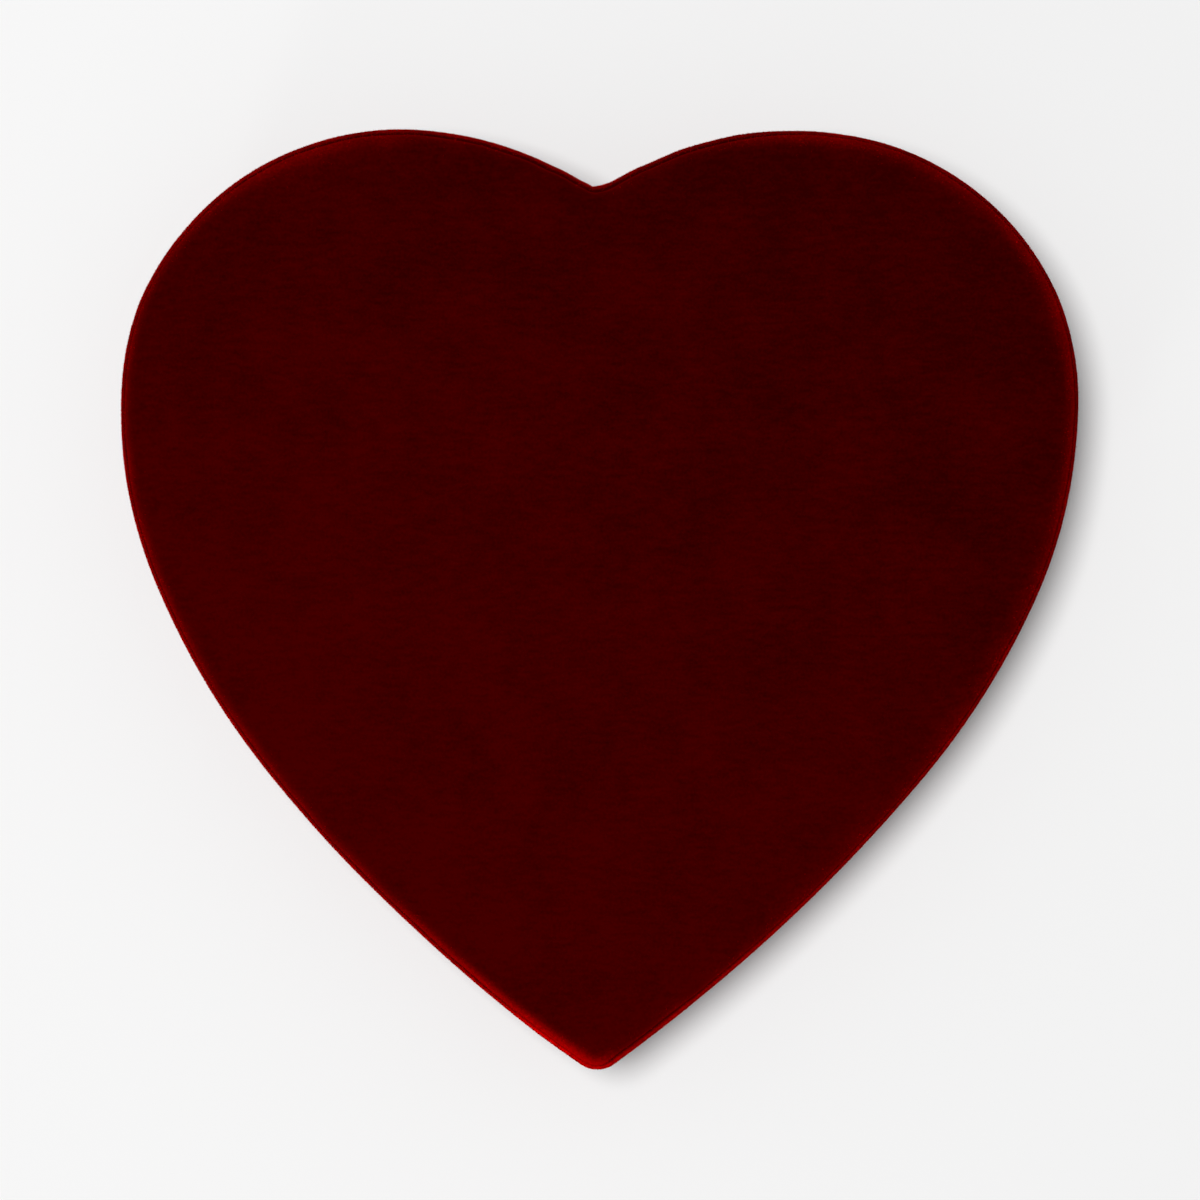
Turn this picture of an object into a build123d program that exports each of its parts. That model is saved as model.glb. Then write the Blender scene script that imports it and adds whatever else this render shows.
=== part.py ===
from build123d import *
import os
from math import atan2, cos, degrees, radians, sin, sqrt

# Valentine heart box: a velvet covered card lid over a paper covered card base,
# with a candy tray and a cushion pad inside. +Z is up, the tip of the heart points to -Y,
# and the origin is under the middle of the heart, on the surface that the box stands on.

# Heart outline on the outside of the velvet band, drawn with tangent arcs
heart_width = 230
lobe_radius = 65.75
cleft_depth = 13.8
cleft_radius = 0.6
upper_flank_radius = 115
upper_flank_turn = 24
middle_flank_radius = 184
middle_flank_turn = 16
lower_flank_radius = 400
tip_radius = 6.8
sharpest_tip_radius = 0.8

# Sheet stock
velvet_thickness = 1.0
board_thickness = 1.6
panel_board_thickness = 1.0
paper_thickness = 0.3
tray_sheet = 0.5
glue_line = 0.1

# Base of the box
head_room = 3.5
wrap_turn_under = 10
wrap_turn_in = 12
bottom_sheet_border = 2
base_clearance = 0.6

# Lid of the box
band_foot = 9
velvet_turn_in = 9
velvet_turn_over = 12
band_roll = 1.0
joint_gap = 0.3
stay_width = 20

# Padded panel on top of the lid
lip_width = 1.2
panel_turn_under = 10
foam_thickness = 2.2
panel_roll = 2.2

# Cushion pad
pad_height = 5
pad_clearance = 0.6

# Candy tray
tray_height = 20
tray_skirt = 3
tray_clearance = 0.6
cavity_radius = 17
cavity_draft = 6
cavity_flutes = 10
cavity_web = 5
cavity_land = 1.5

# Facets in a wide rolled edge and in a narrow one
wide_roll_steps = 2
narrow_roll_steps = 1

# Length by which a cut runs past what it cuts
overrun = 1

# Centres of the outline's arcs, first with the lobe centres on the X axis
lobe_x = heart_width / 2 - lobe_radius
shoulder_radius = (lobe_x**2 + cleft_depth**2) / (2 * cleft_depth)
shoulder_rise = lobe_radius - shoulder_radius
cleft_rise = shoulder_rise + sqrt((shoulder_radius + cleft_radius) ** 2 - lobe_x**2)
cleft_angle = degrees(atan2(cleft_rise - shoulder_rise, -lobe_x))
upper_end = -upper_flank_turn
middle_end = upper_end - middle_flank_turn


def next_centre(centre, radius, next_radius, angle):
    """Centre of the arc that follows on smoothly at this angle."""
    step = radius - next_radius
    return (centre[0] + step * cos(radians(angle)), centre[1] + step * sin(radians(angle)))


upper_centre = (heart_width / 2 - upper_flank_radius, 0)
middle_centre = next_centre(upper_centre, upper_flank_radius, middle_flank_radius, upper_end)
lower_centre = next_centre(middle_centre, middle_flank_radius, lower_flank_radius, middle_end)


def tip_rise(inset, radius):
    """Height of the tip arc's centre that meets both lower flanks."""
    reach = lower_flank_radius - inset - radius
    return lower_centre[1] - sqrt(reach**2 - lower_centre[0] ** 2)


heart_low = tip_rise(0, tip_radius) - tip_radius
heart_length = lobe_radius - heart_low
lobe_y = -(lobe_radius + heart_low) / 2

# Insets of the layers from the outside of the velvet band, going inwards
lid_wall_outer = velvet_thickness + glue_line
lid_wall_inner = lid_wall_outer + board_thickness
lid_liner_outer = lid_wall_inner + glue_line
lid_liner_inner = lid_liner_outer + paper_thickness
velvet_inner = lid_liner_outer + velvet_thickness
base_outer = velvet_inner + base_clearance
base_wall_outer = base_outer + paper_thickness + glue_line
base_wall_inner = base_wall_outer + board_thickness
base_liner_outer = base_wall_inner + glue_line
base_liner_inner = base_liner_outer + paper_thickness
tray_edge = base_liner_inner + tray_clearance
pad_edge = base_liner_inner + pad_clearance
panel_edge = lip_width
panel_board_edge = panel_edge + velvet_thickness + glue_line

# Staggered rows of cavities, all as far apart
cavity_pitch = 2 * (cavity_radius + tray_sheet) + cavity_web
cavity_row_pitch = cavity_pitch * sin(radians(60))

# Levels of the layers, going up
fold_level = paper_thickness
base_board_level = fold_level + paper_thickness
floor_level = base_board_level + board_thickness
pad_level = floor_level + tray_height
pad_top_level = pad_level + pad_height
base_height = pad_top_level + head_room
base_fold_level = base_height - paper_thickness
wrap_end_level = base_height - wrap_turn_in
lid_board_level = base_height + paper_thickness
lid_top_level = lid_board_level + board_thickness
lip_level = lid_top_level + velvet_thickness
lid_wall_level = band_foot + velvet_thickness
velvet_end_level = band_foot + velvet_turn_in
panel_board_level = lip_level + velvet_thickness
foam_level = panel_board_level + panel_board_thickness
foam_top_level = foam_level + foam_thickness
panel_top_level = foam_top_level + velvet_thickness


def heart_wire(inset):
    """Heart drawn in by the inset, with every arc kept about its own centre."""
    tip = max(tip_radius - inset, sharpest_tip_radius)
    tip_y = tip_rise(inset, tip)
    tip_angle = degrees(atan2(tip_y - lower_centre[1], -lower_centre[0]))
    right = [
        CenterArc((lobe_x, shoulder_rise), shoulder_radius - inset, cleft_angle, 90 - cleft_angle),
        CenterArc((lobe_x, 0), lobe_radius - inset, 90, -90),
        CenterArc(upper_centre, upper_flank_radius - inset, 0, upper_end),
        CenterArc(middle_centre, middle_flank_radius - inset, upper_end, middle_end - upper_end),
        CenterArc(lower_centre, lower_flank_radius - inset, middle_end, tip_angle - middle_end),
    ]
    left = [mirror(arc, about=Plane.YZ) for arc in reversed(right)]
    cleft = CenterArc((0, cleft_rise), cleft_radius + inset, -cleft_angle, 2 * cleft_angle - 180)
    tip_arc = CenterArc((0, tip_y), tip, tip_angle, -180 - 2 * tip_angle)
    edges = ShapeList([cleft] + right + [tip_arc] + left).edges()
    return Pos(0, lobe_y) * Wire(edges)


def slab(inset, low, high):
    """Flat heart between two levels."""
    return extrude(Pos(0, 0, low) * Face(heart_wire(inset)), high - low, dir=(0, 0, 1))


def ring(outer, inner, low, high):
    """Heart shaped wall between two insets and two levels."""
    section = Face(heart_wire(outer), [heart_wire(inner)])
    return extrude(Pos(0, 0, low) * section, high - low, dir=(0, 0, 1))


def stack(stops):
    """Solid through hearts at the given insets and levels, lowest first."""
    wires = [Pos(0, 0, level) * heart_wire(inset) for inset, level in stops]
    return Solid.make_loft(wires, ruled=True)


def rolled_stops(inset, top, radius, steps):
    """Stops of a rounded upper edge, from the side round to the top."""
    angles = [radians(90 * step / steps) for step in range(steps + 1)]
    return [(inset + radius * (1 - cos(a)), top - radius * (1 - sin(a))) for a in angles]


def cleft_block(width, low, high):
    """Block about the middle of the cleft, for cutting wall pieces there."""
    reach = heart_length / 2 + overrun
    return Pos(0, reach / 2, (low + high) / 2) * Box(width, reach, high - low)


def open_joint(wall, low, high):
    """Wall strip with its two ends meeting in the cleft."""
    return wall - cleft_block(joint_gap, low - overrun, high + overrun)


# Base of the box
def base_bottom_sheet():
    """Paper on the underside that hides the turned wrap."""
    return slab(base_outer + bottom_sheet_border, 0, fold_level)


def base_bottom_board():
    """Card bottom, inside the wall strip."""
    return slab(base_liner_outer, base_board_level, floor_level)


def base_wall_board():
    """Card strip bent round the bottom board."""
    wall = ring(base_wall_outer, base_wall_inner, base_board_level, base_fold_level)
    return open_joint(wall, base_board_level, base_fold_level)


def base_wall_wrap():
    """Paper wrap, turned under the bottom board and over the rim."""
    skin = ring(base_outer, base_outer + paper_thickness, fold_level, base_height)
    under = ring(base_outer, base_outer + wrap_turn_under, fold_level, base_board_level)
    rim = ring(base_outer, base_liner_inner, base_fold_level, base_height)
    inside = ring(base_liner_outer, base_liner_inner, wrap_end_level, base_height)
    return skin + under + rim + inside


def base_cleft_stay():
    """Paper stay that holds the two ends of the wall strip together."""
    band = ring(base_liner_outer, base_liner_inner, floor_level, wrap_end_level)
    return band & cleft_block(stay_width, floor_level, wrap_end_level)


# Candy tray
def cavity_form(radius, low, high):
    """Cup with flat flutes, drafted so that its mouth has the full radius."""
    cup = extrude(Pos(0, 0, low) * RegularPolygon(radius, cavity_flutes), high - low, dir=(0, 0, 1))
    flutes = cup.faces().filter_by(Axis.Z, reverse=True)
    return draft(flutes, Plane.XY.offset(high), -cavity_draft)


def cavity_places():
    """Staggered rows about the line of the lobe centres, where a cavity has room for its land."""
    room = Face(heart_wire(tray_edge + tray_sheet + cavity_land + cavity_radius))
    rows = int(heart_length // cavity_row_pitch)
    columns = int(heart_width // cavity_pitch)
    places = []
    for row in range(-rows, rows + 1):
        shift = cavity_pitch / 2 if row % 2 else 0
        for column in range(-columns, columns + 1):
            place = Vector(column * cavity_pitch + shift, lobe_y + row * cavity_row_pitch)
            if room.is_inside(place):
                places.append(place)
    return places


def candy_tray():
    """Formed plastic tray: a flange with a short skirt and a nest of cavities."""
    flange = slab(tray_edge, pad_level - tray_sheet, pad_level)
    skirt = ring(tray_edge, tray_edge + tray_sheet, pad_level - tray_skirt, pad_level)
    outside = cavity_form(cavity_radius + tray_sheet, floor_level, pad_level)
    inside = cavity_form(cavity_radius, floor_level + tray_sheet, pad_level)
    places = [Pos(place) for place in cavity_places()]
    sheet = flange + skirt + [place * outside for place in places]
    return sheet - [place * inside for place in places]


# Cushion pad
def pad_form(under):
    """Pad above its bottom sheet, or what lies this far under its surface."""
    return slab(pad_edge + under, pad_level + paper_thickness, pad_top_level - under)


def pad_bottom_sheet():
    """Flat paper under the pad."""
    return slab(pad_edge, pad_level, pad_level + paper_thickness)


def pad_wadding():
    """Soft filling of the pad."""
    return pad_form(paper_thickness + glue_line)


def pad_top_sheet():
    """Paper over the wadding, glued to the bottom sheet all round."""
    return pad_form(0) - pad_form(paper_thickness)


# Lid of the box
def lid_top_board():
    """Card top, inside the wall strip."""
    return slab(lid_liner_outer, lid_board_level, lid_top_level)


def lid_wall_board():
    """Card strip bent round the top board."""
    wall = ring(lid_wall_outer, lid_wall_inner, lid_wall_level, lid_top_level)
    return open_joint(wall, lid_wall_level, lid_top_level)


def lid_top_lining():
    """Lining paper under the top board, which rests on the rim of the base."""
    return slab(lid_liner_outer, base_height, lid_board_level)


def lid_cleft_stay():
    """Paper stay that holds the two ends of the wall strip together."""
    band = ring(lid_liner_outer, lid_liner_inner, velvet_end_level, base_height)
    return band & cleft_block(stay_width, velvet_end_level, base_height)


def lid_wall_velvet():
    """Velvet band, turned in under the wall and over the top board, open in the cleft."""
    outside = stack([(0, band_foot)] + rolled_stops(0, lip_level, band_roll, narrow_roll_steps))
    wall_room = slab(velvet_thickness, lid_wall_level, lid_top_level)
    mouth = slab(velvet_inner, band_foot - overrun, lid_wall_level + overrun)
    window = slab(velvet_turn_over, lid_top_level - overrun, lip_level + overrun)
    turn_in = ring(lid_liner_outer, velvet_inner, band_foot, velvet_end_level)
    band = outside - wall_room - mouth - window + turn_in
    return open_joint(band, band_foot, lip_level)


# Padded panel on top of the lid
def panel_board():
    """Card that stiffens the panel."""
    return slab(panel_board_edge, panel_board_level, foam_level)


def panel_foam():
    """Foam sheet on the panel's card, rounded off at its edge."""
    roll = panel_roll - velvet_thickness
    shoulder = rolled_stops(panel_board_edge, foam_top_level, roll, narrow_roll_steps)
    return stack([(panel_board_edge, foam_level)] + shoulder)


def panel_velvet():
    """Velvet over the foam, drawn round the card's edge and turned under it."""
    outer_shoulder = rolled_stops(panel_edge, panel_top_level, panel_roll, wide_roll_steps)
    outside = stack([(panel_edge, lip_level)] + outer_shoulder)
    inner_edge = panel_edge + velvet_thickness
    inner_roll = panel_roll - velvet_thickness
    inner_shoulder = rolled_stops(inner_edge, foam_top_level + glue_line, inner_roll, narrow_roll_steps)
    inside = stack([(inner_edge, panel_board_level)] + inner_shoulder)
    window = slab(panel_edge + panel_turn_under, lip_level - overrun, panel_board_level + overrun)
    return outside - inside - window


nodes = [
    panel_velvet,
    panel_foam,
    panel_board,
    lid_top_board,
    lid_wall_board,
    lid_wall_velvet,
    lid_cleft_stay,
    lid_top_lining,
    pad_top_sheet,
    pad_wadding,
    pad_bottom_sheet,
    candy_tray,
    base_bottom_board,
    base_wall_board,
    base_cleft_stay,
    base_wall_wrap,
    base_bottom_sheet,
]

os.makedirs("parts", exist_ok=True)
for node in nodes:
    export_step(node(), os.path.join("parts", node.__name__ + ".step"))
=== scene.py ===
from math import acos, atan2, cos, degrees, pi, radians, sin, sqrt, tan

import bmesh
import bpy
import numpy as np
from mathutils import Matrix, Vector, geometry, noise


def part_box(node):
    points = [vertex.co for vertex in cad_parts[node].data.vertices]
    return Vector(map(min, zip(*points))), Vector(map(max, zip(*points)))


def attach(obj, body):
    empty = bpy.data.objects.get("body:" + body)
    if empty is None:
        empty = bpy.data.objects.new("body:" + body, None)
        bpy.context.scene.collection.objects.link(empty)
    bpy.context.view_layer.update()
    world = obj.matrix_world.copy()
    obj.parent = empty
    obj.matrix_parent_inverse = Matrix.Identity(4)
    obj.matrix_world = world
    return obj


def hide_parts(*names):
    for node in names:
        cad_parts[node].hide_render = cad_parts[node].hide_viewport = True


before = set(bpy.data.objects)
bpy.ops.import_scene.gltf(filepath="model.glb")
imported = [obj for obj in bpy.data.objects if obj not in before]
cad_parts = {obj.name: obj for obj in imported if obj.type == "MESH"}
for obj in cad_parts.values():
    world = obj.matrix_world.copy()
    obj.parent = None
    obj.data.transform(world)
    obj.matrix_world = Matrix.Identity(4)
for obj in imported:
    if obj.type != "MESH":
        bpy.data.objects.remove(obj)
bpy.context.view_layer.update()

# Lengths below are in millimetres, as in the part's source, and MM turns them into metres
MM = 0.001

# Heart outline on the outside of the velvet band, drawn with tangent arcs
heart_width = 230
lobe_radius = 65.75
cleft_depth = 13.8
cleft_radius = 0.6
upper_flank_radius = 115
upper_flank_turn = 24
middle_flank_radius = 184
middle_flank_turn = 16
lower_flank_radius = 400
tip_radius = 6.8
sharpest_tip_radius = 0.8

# Points along half of the outline: cleft, shoulder, lobe, three flanks, tip
arc_points = (10, 60, 120, 56, 56, 110, 24)

# Sheet stock
velvet_thickness = 1.0
board_thickness = 1.6
paper_thickness = 0.3
tray_sheet = 0.5
glue_line = 0.1
lid_clearance = 0.6
tray_clearance = 0.6

# Insets of the layers from the outside of the velvet band
lid_wall_outer = velvet_thickness + glue_line
lid_wall_inner = lid_wall_outer + board_thickness
velvet_turn_outer = lid_wall_inner + glue_line
velvet_turn_inner = velvet_turn_outer + velvet_thickness
base_outer = velvet_turn_inner + lid_clearance
base_wall_outer = base_outer + paper_thickness + glue_line
base_wall_inner = base_wall_outer + board_thickness
wrap_turn_outer = base_wall_inner + glue_line
wrap_turn_inner = wrap_turn_outer + paper_thickness
tray_edge = wrap_turn_inner + tray_clearance
pad_edge = tray_edge
panel_edge = 1.2
velvet_turn_over = 12
panel_turn_under = 10
wrap_turn_under = 10
wrap_turn_in = 12
velvet_turn_in = 9
card_joint_gap = 0.3
velvet_joint_gap = 0.01

# Cavities of the candy tray, as in the part's source
cavity_radius = 17
cavity_draft = 6
cavity_web = 5
cavity_land = 1.5
tray_skirt = 3
cavity_stagger = 60
cavity_pitch = 2 * (cavity_radius + tray_sheet) + cavity_web
cavity_row_pitch = cavity_pitch * sin(radians(cavity_stagger))

# Centres of the outline's arcs, first with the lobe centres on the X axis
lobe_x = heart_width / 2 - lobe_radius
shoulder_radius = (lobe_x**2 + cleft_depth**2) / (2 * cleft_depth)
shoulder_rise = lobe_radius - shoulder_radius
cleft_rise = shoulder_rise + sqrt((shoulder_radius + cleft_radius) ** 2 - lobe_x**2)
cleft_angle = degrees(atan2(cleft_rise - shoulder_rise, -lobe_x))
upper_end = -upper_flank_turn
middle_end = upper_end - middle_flank_turn


def next_centre(centre, radius, next_radius, angle):
    """Centre of the arc that follows on smoothly at this angle."""
    step = radius - next_radius
    return (centre[0] + step * cos(radians(angle)), centre[1] + step * sin(radians(angle)))


upper_centre = (heart_width / 2 - upper_flank_radius, 0)
middle_centre = next_centre(upper_centre, upper_flank_radius, middle_flank_radius, upper_end)
lower_centre = next_centre(middle_centre, middle_flank_radius, lower_flank_radius, middle_end)


def tip_rise(inset, radius):
    """Height of the tip arc's centre that meets both lower flanks."""
    reach = lower_flank_radius - inset - radius
    return lower_centre[1] - sqrt(reach**2 - lower_centre[0] ** 2)


heart_low = tip_rise(0, tip_radius) - tip_radius
heart_length = lobe_radius - heart_low
lobe_y = -(lobe_radius + heart_low) / 2


def level(node, end):
    """Height of a CAD node's underside (0) or top (1)."""
    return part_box(node)[end].z / MM


band_foot = level("lid_wall_velvet", 0)
lip_level = level("lid_wall_velvet", 1)
lid_top_level = level("lid_top_board", 1)
panel_low = level("panel_velvet", 0)
panel_top = level("panel_velvet", 1)
foam_low = level("panel_foam", 0)
foam_top = level("panel_foam", 1)
rim_level = level("base_wall_wrap", 1)
wrap_low = level("base_wall_wrap", 0)
base_wall_low = level("base_wall_board", 0)
base_wall_top = level("base_wall_board", 1)
tray_low = level("candy_tray", 0)
tray_top = level("candy_tray", 1)
pad_low = level("pad_top_sheet", 0)


# Outlines and meshes
def heart(inset):
    """Outline points drawn in by the inset, clockwise from the middle of the cleft."""
    tip = max(tip_radius - inset, sharpest_tip_radius)
    tip_y = tip_rise(inset, tip)
    tip_angle = degrees(atan2(tip_y - lower_centre[1], -lower_centre[0]))
    runs = (
        ((0, cleft_rise), cleft_radius + inset, -90, cleft_angle - 180),
        ((lobe_x, shoulder_rise), shoulder_radius - inset, cleft_angle, 90),
        ((lobe_x, 0), lobe_radius - inset, 90, 0),
        (upper_centre, upper_flank_radius - inset, 0, upper_end),
        (middle_centre, middle_flank_radius - inset, upper_end, middle_end),
        (lower_centre, lower_flank_radius - inset, middle_end, tip_angle),
        ((0, tip_y), tip, tip_angle, -90),
    )
    points = []
    for (centre, radius, start, end), count in zip(runs, arc_points):
        turns = np.radians(np.linspace(start, end, count, endpoint=False))
        points.append(np.c_[centre[0] + radius * np.cos(turns), centre[1] + radius * np.sin(turns)])
    points.append(np.array([[0, tip_y - tip]]))
    right = np.vstack(points)
    left = right[-2:0:-1] * (-1, 1)
    return np.vstack([right, left]) + (0, lobe_y)


# How the lid came out by hand: a leaning tip, and a joint off the middle, tucked in on its right
tip_lean = 0.55
cleft_shift = 1.87
cleft_shift_width = 8
cleft_tuck = 0.98
cleft_tuck_place = 3.25
cleft_tuck_width = 4.3
cleft_rise_back = 0.66
cleft_rise_place = -0.08
cleft_rise_width = 2.35
# How far the wall wanders outwards, clockwise from the cleft as shares of the way round
wall_wander = (
    (0, 0.25), (0.02, -0.12), (0.0315, 0.32), (0.042, 0.32), (0.05, 0.44), (0.056, 0.38),
    (0.068, 0.1), (0.085, -0.22), (0.13, 0.05), (0.18, 0.6), (0.23, 0.12), (0.34, 0), (0.46, -0.12),
    (0.5, 0.05), (0.525, 0.35), (0.58, 0.15), (0.62, 0.3), (0.66, 0), (0.72, -0.15), (0.76, 0.18),
    (0.79, 0), (0.82, 0.38), (0.85, 0), (0.9, 0), (0.935, 0.45), (0.958, 0.22), (0.972, -0.12),
    (0.983, -0.37), (1, 0.25),
)


def bell(x, middle, width):
    """Smooth hump of height 1."""
    return np.exp(-(((x - middle) / width) ** 2))


def hand_laid(points, share):
    """Outline moved by a share of what the hand did to it."""
    x, y = points.T
    at_cleft = y > lobe_y
    lean = tip_lean * (0.5 - y / heart_length)
    shift = cleft_shift * bell(x, 0, cleft_shift_width) * at_cleft
    tuck = cleft_tuck * bell(x, cleft_tuck_place, cleft_tuck_width) * at_cleft
    tuck -= cleft_rise_back * bell(x, cleft_rise_place, cleft_rise_width) * at_cleft
    wander = (heart(0) - heart(1)) * round_way(wall_wander)[:, None]
    return points + share * (wander - np.c_[lean + shift, tuck])


def lid_heart(inset):
    """Outline of the lid's wall and its band, true again on the inside."""
    share = min(max((lid_wall_inner - inset) / board_thickness, 0), 1)
    return hand_laid(heart(inset), share)


# Gap between the panel and the lip, clockwise from the cleft as shares of the way round
panel_gaps = (
    (0, 0.4), (0.05, 0.3), (0.075, -0.1), (0.105, -0.05), (0.125, 0.15), (0.15, 0), (0.24, -0.05),
    (0.3, 0.05), (0.42, 0.05), (0.45, 0.25), (0.475, 0.44), (0.493, 0.4), (0.5, -0.25),
    (0.51, -0.2), (0.58, -0.12), (0.62, -0.1), (0.79, -0.12), (0.83, -0.05), (0.86, 0.15),
    (0.93, 0.38), (1, 0.4),
)
# Painted highlight on the panel's shoulder, and how thick its hairs stand, by the same shares
panel_highlight_and_hairs = (
    (0, 0), (0.05, 0.2), (0.07, 0.6), (0.1, 0.45), (0.13, 0.45), (0.16, 0.6), (0.2, 0.6),
    (0.27, 0.35), (0.34, 0.22), (0.42, 0.2), (0.44, 0.12), (0.492, 0.12), (0.499, 1.8), (0.51, 2.2),
    (0.53, 1.8), (0.56, 1.1), (0.6, 0.45), (0.7, 0.4), (0.77, 0.4), (0.83, 0.28), (0.9, 0.58),
    (0.95, 0.1), (1, 0),
)
# How far in from the panel's edge the painted highlight and the hairs reach
panel_highlight_and_hairs_reach = (
    (0, 1.6), (0.06, 2), (0.1, 2.4), (0.2, 2.4), (0.24, 1.9), (0.28, 2.4), (0.38, 2.8), (0.46, 2.4),
    (0.5, 2), (0.54, 1.4), (0.6, 1.3), (0.82, 1.3), (0.86, 1.6), (0.89, 2.8), (0.93, 2.8),
    (0.96, 1.8), (1, 1.6),
)
# Painted highlight on the lip, and how thick its hairs stand
lip_highlight_and_hairs = (
    (0, 0.55), (0.05, 0.42), (0.2, 0.46), (0.28, 0.58), (0.35, 0.7), (0.41, 0.92), (0.46, 1),
    (0.49, 1.1), (0.5, 3), (0.525, 4.6), (0.55, 1.7), (0.6, 1.1), (0.7, 1), (0.77, 0.75),
    (0.81, 0.6), (0.85, 0.8), (0.9, 0.65), (1, 0.55),
)
# How far in on the lip the painted highlight and the hairs are strongest
lip_highlight_and_hairs_crest = (
    (0, 0.25), (0.06, 0.3), (0.14, 0.4), (0.2, 0.6), (0.28, 0.68), (0.42, 0.65), (0.47, 0.6),
    (0.505, 0.45), (0.525, 0.4), (0.54, 0.12), (0.64, 0.12), (0.68, 0.2), (0.78, 0.2), (0.81, 0.3),
    (0.85, 0.4), (0.93, 0.35), (1, 0.25),
)
# Waves of the handwork and of the painted highlight: how long they are, how they fall off and how
# uneven they make each thing
hand_wave = 9
wave_fall = 1
wave_step = 2
wave_octaves = 3
gap_unevenness = 0.12
highlight_and_hairs_unevenness = 0.12
lip_highlight_and_hairs_unevenness = 0.25


def round_way(stops, unevenness=0):
    """Values at the outline's points, from stops at shares of the way round, made uneven."""
    outer = heart(0)
    way = np.cumsum(np.linalg.norm(np.diff(outer, axis=0, append=outer[:1]), axis=1))
    places = [Vector((x / hand_wave, y / hand_wave, 0)) for x, y in outer]
    waves = np.array([noise.fractal(p, wave_fall, wave_step, wave_octaves) for p in places])
    return np.interp(way / way[-1], *zip(*stops)) + unevenness * waves


def panel_heart(inset):
    """Outline of the padded panel, which lies nearer to the lip in some places than in others."""
    inwards = heart(1) - heart(0)
    gaps = round_way(panel_gaps, gap_unevenness)[:, None]
    return hand_laid(heart(inset) + inwards * gaps, 1)


def ring_at(inset, z, outline=heart):
    """Outline as points in space."""
    flat = outline(inset)
    return np.c_[flat, np.full(len(flat), z)]


def arc_stops(inset, z, radius, start, end, steps):
    """Stops on an arc about a centre given as inset and height, with angles from inwards up."""
    turns = np.radians(np.linspace(start, end, steps))
    return [(inset + radius * cos(t), z + radius * sin(t)) for t in turns]


def strips(rings, close_round=True, close_along=False):
    """Vertices and quads of a skin through rings of as many points each."""
    count, size = len(rings), len(rings[0])
    rows = range(count if close_along else count - 1)
    columns = range(size if close_round else size - 1)
    faces = []
    for row in rows:
        here, there = row * size, (row + 1) % count * size
        for column in columns:
            after = (column + 1) % size
            faces.append((here + column, here + after, there + after, there + column))
    return np.vstack(rings), faces


def inside(points, outline):
    """Which points lie inside a closed outline."""
    a, b = outline, np.roll(outline, -1, axis=0)
    x, y = points[:, :1], points[:, 1:]
    crosses = (a[:, 1] > y) != (b[:, 1] > y)
    with np.errstate(divide="ignore", invalid="ignore"):
        at = a[:, 0] + (y - a[:, 1]) / (b[:, 1] - a[:, 1]) * (b[:, 0] - a[:, 0])
    return (crosses & (x < at)).sum(axis=1) % 2 == 1


def away(points, outline):
    """Distance of each point from the nearest outline point."""
    return np.sqrt(((points[:, None] - outline[None]) ** 2).sum(axis=2).min(axis=1))


# Grid inside a flat outline and its least distance from the outline
plain_grid = 5
plain_margin = 2.5
# Points nearer to each other than this count as one, in the flat and in the finished piece
same_point = 1e-7
same_vertex = 0.002
# The triangulation's own number for keeping only what lies inside
only_inside = 1


def filled(outlines, spacing, margin, slant=60):
    """Flat triangles that fill outlines, with an even grid inside the first, laid at the slant."""
    step = np.array((spacing, spacing * tan(radians(slant)) / 2))
    low = np.floor(outlines[0].min(axis=0) / step).astype(int) - 1
    high = np.ceil(outlines[0].max(axis=0) / step).astype(int) + 1
    rows, columns = range(low[1], high[1]), range(low[0], high[0])
    grid = [(m + n % 2 / 2, n) for n in rows for m in columns] * step
    grid = grid[inside(grid, outlines[0])]
    for outline in outlines:
        grid = grid[away(grid, outline) > margin]
    points = np.vstack([*outlines, grid])
    edges, at = [], 0
    for outline in outlines:
        size = len(outline)
        edges += [(at + n, at + (n + 1) % size) for n in range(size)]
        at += size
    got = geometry.delaunay_2d_cdt([Vector(p) for p in points], edges, [], only_inside, same_point)
    return np.array([tuple(v) for v in got[0]]), [tuple(f) for f in got[2]]


def shown(name, mesh):
    """Object of a mesh, at the origin."""
    made = bpy.data.objects.new(name, mesh)
    bpy.context.scene.collection.objects.link(made)
    return made


def sewn_up(mesh, sharp):
    """Mesh joined where its parts meet, its faces turned outwards and its bends smooth."""
    work = bmesh.new()
    work.from_mesh(mesh)
    bmesh.ops.remove_doubles(work, verts=work.verts, dist=same_vertex * MM)
    bmesh.ops.recalc_face_normals(work, faces=work.faces)
    work.to_mesh(mesh)
    work.free()
    mesh.shade_smooth()
    mesh.set_sharp_from_angle(angle=radians(sharp))


# Bends up to this many degrees are shaded smooth
bend_angle = 35


def piece(name, parts, material, nap=None):
    """Object from lists of vertices and faces, in millimetres, joined where they meet."""
    mesh = bpy.data.meshes.new(name)
    vertices, faces, at = [], [], 0
    for some, its_faces in parts:
        vertices.append(np.asarray(some, float) * MM)
        faces += [tuple(at + n for n in f) for f in its_faces]
        at += len(some)
    mesh.from_pydata(np.vstack(vertices).tolist(), [], faces)
    # The nap attribute holds painted highlight for the velvet's colour and the thickness of its
    # hairs
    if nap is not None:
        opened = mesh.attributes.new("nap", "FLOAT", "POINT")
        opened.data.foreach_set("value", np.hstack([some.ravel() for some in nap]))
    sewn_up(mesh, bend_angle)
    mesh.materials.append(material)
    return shown(name, mesh)


def swept(profile, gap=None, outline=heart):
    """Closed profile of insets and heights taken round the heart, whole or open at the cleft."""
    rings = [ring_at(inset, z, outline) for inset, z in profile]
    if gap is None:
        return strips(rings, close_along=True)
    opened = []
    for ring in rings:
        ring = np.vstack([ring, ring[:1]])
        ring[0, 0] += gap / 2
        ring[-1, 0] -= gap / 2
        opened.append(ring)
    vertices, faces = strips(opened, close_round=False, close_along=True)
    size = len(opened[0])
    faces.append(tuple(n * size for n in range(len(opened))))
    faces.append(tuple(n * size + size - 1 for n in reversed(range(len(opened)))))
    return vertices, faces


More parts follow.
